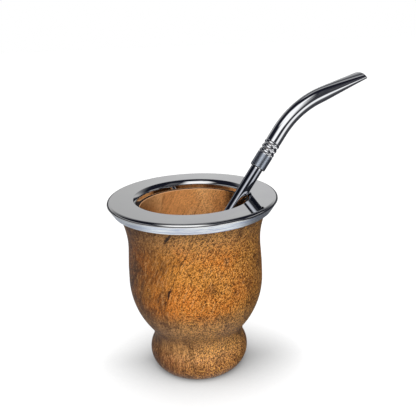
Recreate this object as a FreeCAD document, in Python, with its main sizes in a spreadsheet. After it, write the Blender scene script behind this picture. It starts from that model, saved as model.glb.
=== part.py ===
"""A turned wooden mate cup with a flat metal rim, and the metal drinking straw that stands in it.

The cup's axis is +Z and the origin is the middle of the foot's flat underside. The straw leans
over the rim towards +X. All sizes are millimetres and degrees.
"""
import FreeCAD, Part
import math
import os

import Sketcher

V = FreeCAD.Vector

# Driving sizes, then the sizes worked out from them
CUP_SIZES = [
    ("cup_height", 96.5),         # underside of the foot to the top of the metal rim
    ("rim_radius", 44.0),         # outside of the metal rim
    ("rim_edge_round", 1.5),      # rounded outer edge of the rim's flat top
    ("plate_thickness", 1.5),     # the rim's flat top
    ("skirt_height", 5.9),        # how far the rim's skirt hangs down
    ("skirt_taper", 2.85),        # how much narrower the skirt is at its bottom edge
    ("skirt_wall", 1.3),
    ("skirt_gap", 1.05),          # open gap between the skirt's bottom edge and the wood
    ("lip_round", 5.4),           # rolled inner edge of the rim
    ("lip_run", 2.57),            # how far the lip's curve reaches in from the flat top
    ("lip_wall", 1.3),            # thickness of the lip
    ("lip_clearance", 0.1),       # play round the lip in its rebate
    ("ledge", 0.5),               # wood that shows inside the lip
    ("flare_reach", 4.0),         # how far the wood flares out from the neck to the skirt
    ("neck_drop", 24.1),          # top of the rim down to the neck, the narrowest place
    ("neck_rise", 20.7),          # the belly's widest place up to the neck
    ("belly_swell", 0.95),        # how much wider the belly is than the neck
    ("waist_radius", 24.57),      # the narrowest place, above the foot
    ("waist_round", 11.1),        # radius of the hollow curve of the waist, seen from the side
    ("foot_radius", 26.9),
    ("foot_bulge_height", 9.4),   # height of the foot's widest place
    ("foot_round", 11.0),         # radius of the foot's bulge, seen from the side
    ("foot_chamfer", 0.7),
    ("wall", 6.1),                # wood at the neck
    ("hollow", 1.2),              # how much wider the inside is than its mouth
    ("hollow_height", 60.0),      # where the inside reaches its full width
    ("floor_height", 28.0),       # inside floor above the underside of the foot
    ("floor_round", 22.0),        # curve between the inside wall and the floor
    ("floor_flat_least", 3.0),    # radius of flat floor that the curve always leaves
]
CUP_DERIVED = [
    ("seat_height", "=cup_height - plate_thickness"),
    ("skirt_bottom", "=cup_height - skirt_height"),
    ("rim_round_height", "=cup_height - rim_edge_round"),
    ("rim_flat_outer", "=rim_radius - rim_edge_round"),
    ("skirt_outer", "=rim_radius - skirt_taper"),
    ("skirt_inner", "=skirt_outer - skirt_wall"),
    ("skirt_root", "=rim_radius - skirt_wall - skirt_taper * (plate_thickness - rim_edge_round)"
                   " / (skirt_height - rim_edge_round)"),
    ("neck_height", "=cup_height - neck_drop"),
    ("belly_height", "=neck_height - neck_rise"),
    ("flare_edge", "=skirt_inner - skirt_gap"),
    ("neck_radius", "=flare_edge - flare_reach"),
    ("flare_rise", "=skirt_bottom - neck_height"),
    ("flare_round", "=(flare_rise * flare_rise + flare_reach * flare_reach) / (2 * flare_reach)"),
    ("flare_centre", "=neck_radius + flare_round"),
    ("seat_radius", "=flare_centre - sqrt(flare_round ^ 2 - (seat_height - neck_height) ^ 2)"),
    ("belly_radius", "=neck_radius + belly_swell"),
    ("foot_centre", "=foot_radius - foot_round"),
    ("cavity_radius", "=neck_radius - wall"),
    ("mouth_radius", "=cavity_radius - hollow"),
    ("lip_throat", "=mouth_radius + ledge"),
    ("lip_outer", "=lip_throat + lip_wall"),
    ("rebate_radius", "=lip_outer + lip_clearance"),
    ("lip_depth", "=sqrt(lip_round ^ 2 - (lip_round - lip_run) ^ 2)"),
    ("lip_bottom", "=cup_height - lip_depth"),
    ("ledge_height", "=lip_bottom - lip_clearance"),
    ("lip_centre", "=lip_throat + lip_round"),
    ("rim_flat_inner", "=lip_throat + lip_run"),
    # The lip's underside and the wood's inner edge follow the lip's curve
    ("lip_under", "=lip_round - lip_wall"),
    ("lip_root", "=lip_centre - sqrt(lip_under ^ 2 - (lip_depth - plate_thickness) ^ 2)"),
    ("seat_round", "=lip_under - lip_clearance"),
    ("seat_edge", "=lip_centre - sqrt(seat_round ^ 2 - (lip_depth - plate_thickness) ^ 2)"),
    # The waist curve touches the foot's bulge, and the belly's lower curve touches the waist
    ("foot_reach", "=foot_round + waist_round"),
    ("waist_centre_r", "=waist_radius + waist_round"),
    ("waist_centre_z", "=foot_bulge_height"
                       " + sqrt(foot_reach ^ 2 - (waist_centre_r - foot_centre) ^ 2)"),
    ("foot_touch_r", "=foot_centre + (waist_centre_r - foot_centre) * foot_round / foot_reach"),
    ("foot_touch_z", "=foot_bulge_height"
                     " + (waist_centre_z - foot_bulge_height) * foot_round / foot_reach"),
    ("belly_rise", "=belly_height - waist_centre_z"),
    ("belly_offset", "=waist_centre_r - belly_radius"),
    ("belly_round", "=(belly_rise ^ 2 + belly_offset ^ 2 - waist_round ^ 2)"
                    " / (2 * (waist_round - belly_offset))"),
    ("belly_centre", "=belly_radius - belly_round"),
    ("belly_reach", "=belly_round + waist_round"),
    ("belly_touch_r", "=belly_centre"
                      " + (waist_centre_r - belly_centre) * belly_round / belly_reach"),
    ("belly_touch_z", "=belly_height"
                      " + (waist_centre_z - belly_height) * belly_round / belly_reach"),
    # The belly's upper curve leaves the widest place upright and touches the flare
    ("shoulder_offset", "=flare_centre - belly_radius"),
    ("shoulder_round", "=(neck_rise ^ 2 + shoulder_offset ^ 2 - flare_round ^ 2)"
                       " / (2 * (flare_round - shoulder_offset))"),
    ("shoulder_share", "=flare_round / (flare_round + shoulder_round)"),
    ("shoulder_touch_r", "=flare_centre"
                         " + (belly_radius - shoulder_round - flare_centre) * shoulder_share"),
    ("shoulder_touch_z", "=neck_height - neck_rise * shoulder_share"),
    ("foot_edge_r", "=foot_centre + sqrt(foot_round ^ 2 - (foot_bulge_height - foot_chamfer) ^ 2)"),
    ("foot_face_r", "=foot_centre + sqrt(foot_round ^ 2 - foot_bulge_height ^ 2) - foot_chamfer"),
    # Inside of the cup
    ("mouth_rise", "=ledge_height - hollow_height"),
    ("hollow_round", "=(mouth_rise ^ 2 + hollow ^ 2) / (2 * hollow)"),
    ("floor_fillet", "=min(floor_round; cavity_radius - floor_flat_least)"),
    ("floor_corner_height", "=floor_height + floor_fillet"),
    ("floor_flat_radius", "=cavity_radius - floor_fillet"),
]
RINGS = 3
HOLES_AROUND = 8
HOLE_ROWS = 4
# How far along the mouthpiece each oval stands, and how far it is squeezed
MOUTH_OVALS = [(0.12, 0.04), (0.4, 0.33), (0.7, 0.68), (1.0, 1.0)]

STRAW_SIZES = [
    ("tube_wall", 0.5),
    ("joint_clearance", 0.05),    # solder gap round each tube end
    ("straight_length", 6.4),     # upper tube between the collar and the bend
    ("bend_radius", 45.6),
    ("bend_angle", 35.0),
    ("mouth_length", 28.0),       # straight end that flattens into the mouthpiece
    ("mouth_half_width", 5.9),
    ("mouth_half_height", 2.0),
    ("mouth_slant", 21.0),        # the end is cut back at this angle, longer at the bottom
    ("mouth_end_bulge", 1.0),     # how far the mouthpiece's end is rounded, seen from above
    ("collar_step", 0.2),         # how far the collar stands out from the upper tube
    ("collar_length", 15.5),      # its lower end to the shoulder that carries the upper tube
    ("collar_lip_round", 0.6),    # rounded lower end of the collar
    ("band_start", 8.1),          # plain part of the collar below the ringed band
    ("band_depth", 0.45),         # how deep the band is cut between the rings
    ("ring_half_width", 1.1),
    ("ring_pitch", 2.6),
    ("spigot_length", 5.0),       # plug of the collar inside the upper tube
    ("web_thickness", 1.5),       # stop inside the collar between stem and spigot
    ("stem_radius", 3.2),
    ("tube_step", 0.75),          # how much larger the upper tube's radius is than the stem's
    ("stem_length", 62.3),        # stem between the collar and the filter
    ("bulb_radius", 5.8),         # perforated filter at the stem's lower end
    ("bulb_length", 30.0),
    ("bulb_shoulder", 7.0),       # taper from the bulb to its socket
    ("socket_length", 6.0),       # socket of the filter round the stem's end
    ("bulb_wall", 0.6),
    ("stop_thickness", 1.0),      # ledge inside the socket under the stem's end
    ("hole_radius", 0.75),
    ("hole_pitch", 2.6),
    ("hole_margin", 0.7),         # plain wall between the bulb's round end and the first row
    ("lean", 35.9),               # straw's lean away from upright
    ("heading", 17.1),            # direction of the lean, turned from +X towards +Y
    ("side_offset", -6.45),       # how far beside the cup's axis the straw's plane passes
    ("rest_clearance", 0.1),      # straw to the lip and to the inside wall where it leans
]
STRAW_DERIVED = [
    ("tube_radius", "=stem_radius + tube_step"),
    ("tube_bore", "=tube_radius - tube_wall"),
    ("mouth_bore_width", "=mouth_half_width - tube_wall"),
    ("mouth_bore_height", "=mouth_half_height - tube_wall"),
    ("stem_bore", "=stem_radius - tube_wall"),
    ("collar_bore", "=stem_radius + joint_clearance"),
    ("collar_radius", "=tube_radius + collar_step"),
    ("collar_lip_radius", "=collar_radius - collar_lip_round"),
    ("band_radius", "=collar_radius - band_depth"),
    ("first_ring_low", "=band_start"),
    ("first_ring_high", "=band_start + 2 * ring_half_width"),
    ("ring_round", "=(ring_half_width ^ 2 + band_depth ^ 2) / (2 * band_depth)"),
    ("web_height", "=collar_length - web_thickness"),
    ("spigot_radius", "=tube_bore - joint_clearance"),
    ("spigot_top", "=collar_length + spigot_length"),
    ("stem_total", "=socket_length + stem_length + web_height"),
    ("socket_bore", "=stem_radius + joint_clearance"),
    ("socket_radius", "=socket_bore + bulb_wall"),
    ("bulb_inner", "=bulb_radius - bulb_wall"),
    ("socket_start", "=bulb_length - socket_length"),
    ("stop_low", "=socket_start - stop_thickness"),
    ("bulb_straight_end", "=socket_start - bulb_shoulder"),
    ("shoulder_step", "=bulb_radius - socket_radius"),
    ("shoulder_curve", "=(bulb_shoulder ^ 2 + shoulder_step ^ 2) / (2 * shoulder_step)"),
    ("shoulder_inner", "=shoulder_curve - bulb_wall"),
    ("shoulder_axis", "=bulb_radius - shoulder_curve"),
    ("stop_outer", "=shoulder_axis + sqrt(shoulder_inner ^ 2 - (bulb_shoulder - stop_thickness) ^ 2)"),
    ("bend_end_x", "=bend_radius * (1 - cos(bend_angle))"),
    ("bend_end_z", "=straight_length + bend_radius * sin(bend_angle)"),
    ("mouth_run_x", "=mouth_length * sin(bend_angle)"),
    ("mouth_run_z", "=mouth_length * cos(bend_angle)"),
    ("mouth_end_round", "=(mouth_half_width ^ 2 + mouth_end_bulge ^ 2) / (2 * mouth_end_bulge)"),
    ("end_cut_half", "=mouth_half_width + mouth_end_bulge"),
    ("end_cut_apex", "=mouth_length * cos(mouth_slant) - mouth_half_height * sin(mouth_slant)"),
    ("end_cut_low", "=end_cut_apex - mouth_end_round + sqrt(mouth_end_round ^ 2 - end_cut_half ^ 2)"),
    ("end_cut_top", "=mouth_length + mouth_half_height"),
    ("collar_place", "=bulb_length + stem_length"),
    ("tube_place", "=collar_place + collar_length"),
]
for row in range(HOLE_ROWS):
    height = "=bulb_radius + hole_margin + hole_radius + %d * hole_pitch" % row
    STRAW_DERIVED.append(("hole_row_%d" % row, height))


def make_sheet(doc):
    """Write every size into the sheet, under its own name."""
    sheet = doc.addObject("Spreadsheet::Sheet", "Sizes")
    rows = CUP_SIZES + CUP_DERIVED + STRAW_SIZES + STRAW_DERIVED
    for row, (name, value) in enumerate(rows, 1):
        sheet.set("A%d" % row, name)
        sheet.set("B%d" % row, str(value))
        sheet.setAlias("B%d" % row, name)
    doc.recompute()
    return sheet


def size(name):
    return float(FreeCAD.ActiveDocument.Sizes.get(name))


def make_body(doc, name):
    body = doc.addObject("PartDesign::Body", name)
    body.Label = name
    return body


def plane(body, role):
    return [f for f in body.Origin.OriginFeatures if f.Role == role][0]


def make_sketch(body, name, role="XZ_Plane"):
    """Start a sketch on one of the body's own planes."""
    sketch = body.newObject("Sketcher::SketchObject", name)
    sketch.AttachmentSupport = [(plane(body, role), "")]
    sketch.MapMode = "FlatFace"
    return sketch


def bind(sketch, constraint, expression):
    index = sketch.addConstraint(constraint)
    sketch.setExpression("Constraints[%d]" % index, expression)


def value_of(term):
    """Value of one coordinate: a number, or a named size with an optional sign."""
    if not isinstance(term, str):
        return float(term)
    if term.startswith("-"):
        return -size(term[1:])
    return size(term)


def expression_of(term):
    if term.startswith("-"):
        return "-Sizes." + term[1:]
    return "Sizes." + term


def pin(sketch, edge, end, point):
    """Hold one end of an edge at the named coordinates."""
    for kind, term in (("DistanceX", point[0]), ("DistanceY", point[1])):
        if isinstance(term, str):
            value = value_of(term)
            bind(sketch, Sketcher.Constraint(kind, -1, 1, edge, end, value), expression_of(term))
        else:
            sketch.addConstraint(Sketcher.Constraint(kind, -1, 1, edge, end, float(term)))


def arc_centre(start, end, radius, side):
    """Centre of the arc from start to end that has its centre on the given side."""
    chord = end.sub(start)
    middle = start.add(end).multiply(0.5)
    lift = math.sqrt(max(radius * radius - chord.Length ** 2 / 4, 0))
    normal = V(-chord.y, chord.x, 0).normalize()
    return middle.add(normal.multiply(side * lift))


def make_outline(sketch, corners, edges):
    """Draw a closed outline. Each edge is None for a line, or (radius, side) for an arc.

    Side is +1 where the arc's centre lies to the left of the way from corner to corner.
    """
    points = [V(value_of(x), value_of(y), 0) for x, y in corners]
    starts = []
    for i, edge in enumerate(edges):
        start = points[i]
        end = points[(i + 1) % len(points)]
        if edge is None:
            sketch.addGeometry(Part.LineSegment(start, end), False)
            starts.append((1, 2))
            continue
        radius, side = edge
        centre = arc_centre(start, end, value_of(radius), side)
        circle = Part.Circle(centre, V(0, 0, 1), value_of(radius))
        first, last = (start, end) if side > 0 else (end, start)
        turn = [math.atan2(p.y - centre.y, p.x - centre.x) for p in (first, last)]
        sketch.addGeometry(Part.ArcOfCircle(circle, turn[0], turn[1]), False)
        starts.append((1, 2) if side > 0 else (2, 1))
    for i, edge in enumerate(edges):
        following = (i + 1) % len(edges)
        joint = Sketcher.Constraint("Coincident", i, starts[i][1], following, starts[following][0])
        sketch.addConstraint(joint)
    for i, corner in enumerate(corners):
        pin(sketch, i, starts[i][0], corner)
    for i, edge in enumerate(edges):
        if edge is not None:
            bind(sketch, Sketcher.Constraint("Radius", i, value_of(edge[0])), "Sizes." + edge[0])


def revolve(body, sketch, name):
    """Turn a sketch that lies in the XZ plane about the body's Z axis."""
    turned = body.newObject("PartDesign::Revolution", name)
    turned.Profile = sketch
    turned.ReferenceAxis = (sketch, ["V_Axis"])
    turned.Angle = 360
    return turned


def make_cup(doc):
    """The wooden cup, turned from one block: foot, waist, belly, neck, seat and inside."""
    body = make_body(doc, "cup_body")
    sketch = make_sketch(body, "cup_profile")
    corners = [
        (0.0, 0.0),
        ("foot_face_r", 0.0),
        ("foot_edge_r", "foot_chamfer"),
        ("foot_touch_r", "foot_touch_z"),
        ("belly_touch_r", "belly_touch_z"),
        ("belly_radius", "belly_height"),
        ("shoulder_touch_r", "shoulder_touch_z"),
        ("seat_radius", "seat_height"),
        ("seat_edge", "seat_height"),
        ("rebate_radius", "lip_bottom"),
        ("rebate_radius", "ledge_height"),
        ("mouth_radius", "ledge_height"),
        ("cavity_radius", "hollow_height"),
        ("cavity_radius", "floor_corner_height"),
        ("floor_flat_radius", "floor_height"),
        (0.0, "floor_height"),
    ]
    edges = [
        None,
        None,
        ("foot_round", 1),
        ("waist_round", -1),
        ("belly_round", 1),
        ("shoulder_round", 1),
        ("flare_round", -1),
        None,
        ("seat_round", 1),
        None,
        None,
        ("hollow_round", -1),
        None,
        ("floor_fillet", -1),
        None,
        None,
    ]
    make_outline(sketch, corners, edges)
    revolve(body, sketch, "cup_turned")
    return body


def make_rim(doc):
    """The metal rim: flat top, rolled inner lip and tapered outer skirt, open underneath."""
    body = make_body(doc, "rim_ring")
    sketch = make_sketch(body, "rim_profile")
    corners = [
        ("lip_throat", "lip_bottom"),
        ("lip_outer", "lip_bottom"),
        ("lip_root", "seat_height"),
        ("skirt_root", "seat_height"),
        ("skirt_inner", "skirt_bottom"),
        ("skirt_outer", "skirt_bottom"),
        ("rim_radius", "rim_round_height"),
        ("rim_flat_outer", "cup_height"),
        ("rim_flat_inner", "cup_height"),
    ]
    edges = [None, ("lip_under", -1), None, None, None, None]
    edges += [("rim_edge_round", 1), None, ("lip_round", 1)]
    make_outline(sketch, corners, edges)
    revolve(body, sketch, "rim_turned")
    return body


def pad_ring(body, name, outer, inner, length):
    """A plain tube of the given radii and length along the body's Z axis."""
    sketch = make_sketch(body, name + "_section", "XY_Plane")
    for index, radius in enumerate((outer, inner)):
        sketch.addGeometry(Part.Circle(V(0, 0, 0), V(0, 0, 1), size(radius)), False)
        sketch.addConstraint(Sketcher.Constraint("Coincident", index, 3, -1, 1))
        bind(sketch, Sketcher.Constraint("Radius", index, size(radius)), "Sizes." + radius)
    pad = body.newObject("PartDesign::Pad", name)
    pad.Profile = sketch
    pad.setExpression("Length", "Sizes." + length)
    return pad


def make_stem(doc):
    """Straight lower tube of the straw, open at both ends."""
    body = make_body(doc, "lower_tube")
    pad_ring(body, "stem", "stem_radius", "stem_bore", "stem_total")
    return body


def make_collar(doc):
    """Collar that joins the two tubes, with a plain sleeve below and a ringed band above."""
    body = make_body(doc, "joint_collar")
    sketch = make_sketch(body, "collar_profile")
    corners = [
        ("collar_bore", 0.0),
        ("collar_lip_radius", 0.0),
        ("collar_radius", "collar_lip_round"),
        ("collar_radius", "band_start"),
        ("band_radius", "band_start"),
        ("band_radius", "collar_length"),
        ("spigot_radius", "collar_length"),
        ("spigot_radius", "spigot_top"),
        ("stem_bore", "spigot_top"),
        ("stem_bore", "web_height"),
        ("collar_bore", "web_height"),
    ]
    edges = [None, ("collar_lip_round", 1)] + [None] * 9
    make_outline(sketch, corners, edges)
    revolve(body, sketch, "collar_turned")
    ring = make_sketch(body, "ring_profile")
    corners = [
        ("stem_radius", "first_ring_low"),
        ("band_radius", "first_ring_low"),
        ("band_radius", "first_ring_high"),
        ("stem_radius", "first_ring_high"),
    ]
    make_outline(ring, corners, [None, ("ring_round", 1), None, None])
    bead = revolve(body, ring, "ring")
    doc.recompute()
    rings = body.newObject("PartDesign::LinearPattern", "rings")
    rings.Originals = [bead]
    rings.Direction = (plane(body, "Z_Axis"), [""])
    rings.Occurrences = RINGS
    rings.setExpression("Length", "Sizes.ring_pitch * %d" % (RINGS - 1))
    body.Tip = rings
    return body


def tilt(sketch, angle, station):
    """Turn a sketch from the YZ plane and carry it along the mouthpiece.

    The sketch's X axis stays the body's Y axis. Station 0 is the bend's end and 1 the mouth.
    """
    sketch.AttachmentOffset = FreeCAD.Placement(V(0, 0, 0), FreeCAD.Rotation(V(1, 0, 0), 1))
    sketch.setExpression("AttachmentOffset.Rotation.Angle", angle)
    for axis, side in (("z", "x"), ("y", "z")):
        way = "Sizes.bend_end_{0} + {1:g} * Sizes.mouth_run_{0}".format(side, station)
        sketch.setExpression("AttachmentOffset.Base." + axis, way)


def round_section(sketch, radius):
    sketch.addGeometry(Part.Circle(V(0, 0, 0), V(0, 0, 1), size(radius)), False)
    sketch.addConstraint(Sketcher.Constraint("Coincident", 0, 3, -1, 1))
    bind(sketch, Sketcher.Constraint("Radius", 0, size(radius)), "Sizes." + radius)
    return sketch


def oval_section(sketch, radius, half_width, half_height, squeeze):
    """Oval that is squeezed a share of the way from the round tube to the flat mouth."""
    halves = [size(radius) + squeeze * (size(end) - size(radius))
              for end in (half_width, half_height)]
    sketch.addGeometry(Part.Ellipse(V(halves[0], 0, 0), V(0, halves[1], 0), V(0, 0, 0)), False)
    sketch.exposeInternalGeometry(0)
    sketch.addConstraint(Sketcher.Constraint("Coincident", 0, 3, -1, 1))
    sketch.addConstraint(Sketcher.Constraint("Horizontal", 1))
    for edge, end in ((1, half_width), (2, half_height)):
        way = "2 * (Sizes.{0} + {1:g} * (Sizes.{2} - Sizes.{0}))".format(radius, squeeze, end)
        bind(sketch, Sketcher.Constraint("Distance", edge, 2 * halves[edge - 1]), way)
    return sketch


def add_span(body, path, kind, name, radius, half_width, half_height):
    """Sweep the round tube along its path, then loft it on into the flat mouthpiece."""
    section = make_sketch(body, name + "_section", "XY_Plane")
    section.AttachmentOffset = FreeCAD.Placement(V(0, 0, 0), FreeCAD.Rotation(V(0, 0, 1), 90))
    pipe = body.newObject("PartDesign::%sPipe" % kind, name + "_tube")
    pipe.Profile = round_section(section, radius)
    pipe.Spine = (path, ["Edge1", "Edge2"])
    start = make_sketch(body, name + "_start", "YZ_Plane")
    tilt(start, "Sizes.bend_angle - 90", 0)
    round_section(start, radius)
    ovals = []
    for index, (station, squeeze) in enumerate(MOUTH_OVALS):
        oval = make_sketch(body, "%s_oval_%d" % (name, index), "YZ_Plane")
        tilt(oval, "Sizes.bend_angle - 90", station)
        ovals.append(oval_section(oval, radius, half_width, half_height, squeeze))
    body.Document.recompute()
    loft = body.newObject("PartDesign::%sLoft" % kind, name + "_mouth")
    loft.Profile = start
    loft.Sections = ovals
    body.Document.recompute()


def make_tube(doc):
    """Upper tube of the straw: straight, bent, then squeezed flat into the mouthpiece."""
    body = make_body(doc, "mouthpiece_tube")
    path = make_sketch(body, "tube_path")
    straight = size("straight_length")
    radius = size("bend_radius")
    bend = math.radians(size("bend_angle"))
    path.addGeometry(Part.LineSegment(V(0, 0, 0), V(0, straight, 0)), False)
    circle = Part.Circle(V(radius, straight, 0), V(0, 0, 1), radius)
    path.addGeometry(Part.ArcOfCircle(circle, math.pi - bend, math.pi), False)
    path.addConstraint(Sketcher.Constraint("Coincident", 0, 2, 1, 2))
    pin(path, 0, 1, (0.0, 0.0))
    pin(path, 0, 2, (0.0, "straight_length"))
    pin(path, 1, 1, ("bend_end_x", "bend_end_z"))
    bind(path, Sketcher.Constraint("Radius", 1, radius), "Sizes.bend_radius")
    add_span(body, path, "Additive", "outside",
             "tube_radius", "mouth_half_width", "mouth_half_height")
    add_span(body, path, "Subtractive", "bore",
             "tube_bore", "mouth_bore_width", "mouth_bore_height")
    cut = make_sketch(body, "mouth_end", "YZ_Plane")
    tilt(cut, "Sizes.bend_angle - Sizes.mouth_slant", 0)
    corners = [
        ("end_cut_half", "end_cut_low"),
        ("-end_cut_half", "end_cut_low"),
        ("-end_cut_half", "end_cut_top"),
        ("end_cut_half", "end_cut_top"),
    ]
    make_outline(cut, corners, [("mouth_end_round", 1), None, None, None])
    pocket = body.newObject("PartDesign::Pocket", "mouth_rounded")
    pocket.Profile = cut
    pocket.Type = "ThroughAll"
    pocket.SideType = "Symmetric"
    return body


def make_filter(doc):
    """Filter bulb with a socket for the stem, hollow and drilled with rows of small holes."""
    body = make_body(doc, "filter_bulb")
    sketch = make_sketch(body, "bulb_profile")
    corners = [
        (0.0, 0.0),
        ("bulb_radius", "bulb_radius"),
        ("bulb_radius", "bulb_straight_end"),
        ("socket_radius", "socket_start"),
        ("socket_radius", "bulb_length"),
        ("socket_bore", "bulb_length"),
        ("socket_bore", "socket_start"),
        ("stem_bore", "socket_start"),
        ("stem_bore", "stop_low"),
        ("stop_outer", "stop_low"),
        ("bulb_inner", "bulb_straight_end"),
        ("bulb_inner", "bulb_radius"),
        (0.0, "bulb_wall"),
    ]
    edges = [("bulb_radius", 1), None, ("shoulder_curve", 1)] + [None] * 6
    edges += [("shoulder_inner", -1), None, ("bulb_inner", -1), None]
    make_outline(sketch, corners, edges)
    tip = revolve(body, sketch, "bulb_turned")
    for row in range(HOLE_ROWS):
        hole = make_sketch(body, "hole_%d" % row)
        turn = 180.0 / HOLES_AROUND * (row % 2 + 0.5)
        hole.AttachmentOffset = FreeCAD.Placement(V(0, 0, 0), FreeCAD.Rotation(V(0, 1, 0), turn))
        height = "hole_row_%d" % row
        circle = Part.Circle(V(0, size(height), 0), V(0, 0, 1), size("hole_radius"))
        hole.addGeometry(circle, False)
        pin(hole, 0, 3, (0.0, height))
        bind(hole, Sketcher.Constraint("Radius", 0, size("hole_radius")), "Sizes.hole_radius")
        pocket = body.newObject("PartDesign::Pocket", "drilled_%d" % row)
        pocket.Profile = hole
        pocket.Type = "ThroughAll"
        pocket.SideType = "Symmetric"
        doc.recompute()
        # Each drilling goes through both walls, so half a turn of copies fills the row
        copies = body.newObject("PartDesign::PolarPattern", "row_%d" % row)
        copies.Originals = [pocket]
        copies.Axis = (plane(body, "Z_Axis"), [""])
        copies.Occurrences = HOLES_AROUND // 2
        copies.Angle = 180.0 - 360.0 / HOLES_AROUND
        body.Tip = copies
        doc.recompute()
    return body


def straw_seat(cup, rim):
    """Find where the leaning straw rests: on the rim's lip, and on the inside wall below.

    Returns the placement of the straw's own frame, whose origin is the filter's lowest point
    and whose Z axis runs up the stem. The tube bends towards the frame's X axis.
    """
    lean = math.radians(size("lean"))
    heading = math.radians(size("heading"))
    out = V(math.cos(heading), math.sin(heading), 0)
    beside = V(-math.sin(heading), math.cos(heading), 0)
    up = out * math.sin(lean) + V(0, 0, math.cos(lean))
    bend_side = out * math.cos(lean) - V(0, 0, math.sin(lean))
    gap = size("rest_clearance")

    def crossing(reach):
        return out * reach + beside * size("side_offset") + V(0, 0, size("cup_height"))

    # Move the straw's axis out until the stem lies on the lip
    low, high = 0.0, size("lip_centre")
    while high - low > 1e-4:
        reach = (low + high) / 2
        middle = crossing(reach)
        line = Part.makeLine(middle - up * size("cup_height"), middle + up * size("cup_height"))
        if rim.Shape.distToShape(line)[0] > size("stem_radius") + gap:
            low = reach
        else:
            high = reach
    top = crossing(low)
    # Slide the straw down its axis until the filter's round end lies on the inside wall
    low, high = low / math.sin(lean), size("cup_height") / math.cos(lean)
    while high - low > 1e-4:
        depth = (low + high) / 2
        centre = top - up * depth
        inside = centre.z > size("floor_height") and cup.Shape.distToShape(
            Part.Vertex(centre))[0] > size("bulb_radius") + gap
        if inside:
            low = depth
        else:
            high = depth
    foot = top - up * (low + size("bulb_radius"))
    turn = FreeCAD.Rotation(bend_side, beside, up, "ZXY")
    return FreeCAD.Placement(foot, turn)


def check_objects(doc):
    for item in doc.Objects:
        if "Invalid" in item.State or "Error" in item.State:
            raise RuntimeError("%s failed: %s" % (item.Name, item.State))


def main():
    doc = FreeCAD.newDocument("mate_cup")
    make_sheet(doc)
    cup = make_cup(doc)
    rim = make_rim(doc)
    doc.recompute()
    seat = straw_seat(cup, rim)
    straw = [
        (make_filter(doc), 0.0),
        (make_stem(doc), size("socket_start")),
        (make_collar(doc), size("collar_place")),
        (make_tube(doc), size("tube_place")),
    ]
    for body, place in straw:
        body.Placement = seat.multiply(FreeCAD.Placement(V(0, 0, place), FreeCAD.Rotation()))
    doc.recompute()
    check_objects(doc)
    pieces = [cup, rim] + [body for body, place in straw]
    for piece in pieces:
        if piece.Shape.isNull() or not piece.Shape.isValid() or len(piece.Shape.Solids) != 1:
            raise RuntimeError(piece.Label + " isn't one valid solid")
    os.makedirs("parts", exist_ok=True)
    for piece in pieces:
        print(piece.Label, round(piece.Shape.Volume, 1), piece.Shape.optimalBoundingBox(False))
        piece.Shape.exportStep("parts/%s.step" % piece.Label)


main()
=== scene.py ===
"""Looks of the mate cup: the turned wood, the metal rim and the drinking straw, in a plain studio.

Lengths are millimetres and angles degrees. Meshes and nodes get metres through MM.
The cup's axis is Z, its foot stands at height 0, and the camera looks along +Y.
"""

import math

import bmesh
import bpy
import numpy as np
from mathutils import Matrix, Vector


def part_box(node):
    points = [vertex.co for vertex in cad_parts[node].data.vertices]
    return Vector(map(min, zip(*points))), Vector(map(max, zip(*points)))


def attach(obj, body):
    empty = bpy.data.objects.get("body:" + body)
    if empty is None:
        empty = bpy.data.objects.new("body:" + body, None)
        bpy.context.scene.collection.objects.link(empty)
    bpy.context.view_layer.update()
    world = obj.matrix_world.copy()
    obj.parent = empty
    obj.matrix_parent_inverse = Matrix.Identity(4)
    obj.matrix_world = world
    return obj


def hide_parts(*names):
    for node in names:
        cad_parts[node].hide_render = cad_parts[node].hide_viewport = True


MM = 0.001

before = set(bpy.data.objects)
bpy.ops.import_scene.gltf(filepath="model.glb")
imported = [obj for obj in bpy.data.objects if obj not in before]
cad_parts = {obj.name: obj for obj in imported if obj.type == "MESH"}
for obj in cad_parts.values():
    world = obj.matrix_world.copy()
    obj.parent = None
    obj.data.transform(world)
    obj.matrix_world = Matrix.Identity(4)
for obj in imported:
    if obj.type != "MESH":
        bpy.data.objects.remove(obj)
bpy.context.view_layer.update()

# Sizes of the cup and its rim, as in the part
CUP_HEIGHT = 96.5
RIM_RADIUS = 44.0
RIM_EDGE_ROUND = 1.5
PLATE_THICKNESS = 1.5
SKIRT_HEIGHT = 5.9
SKIRT_TAPER = 2.85
SKIRT_WALL = 1.3
SKIRT_GAP = 1.05
LIP_ROUND = 5.4
LIP_RUN = 2.57
LIP_TURN = 2.5        # only here: tighter turn of the lip, below the place where the stem rests
LIP_WALL = 1.3
LIP_CLEARANCE = 0.1
LEDGE = 0.5
FLARE_REACH = 4.0
NECK_DROP = 24.1
NECK_RISE = 20.7
BELLY_SWELL = 0.95
WAIST_RADIUS = 24.57
WAIST_ROUND = 11.1
FOOT_RADIUS = 26.9
FOOT_BULGE_HEIGHT = 9.4
FOOT_ROUND = 11.0
FOOT_CHAMFER = 0.7
WALL = 6.1
HOLLOW = 1.2
HOLLOW_HEIGHT = 60.0
FLOOR_HEIGHT = 28.0
FLOOR_ROUND = 22.0

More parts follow.
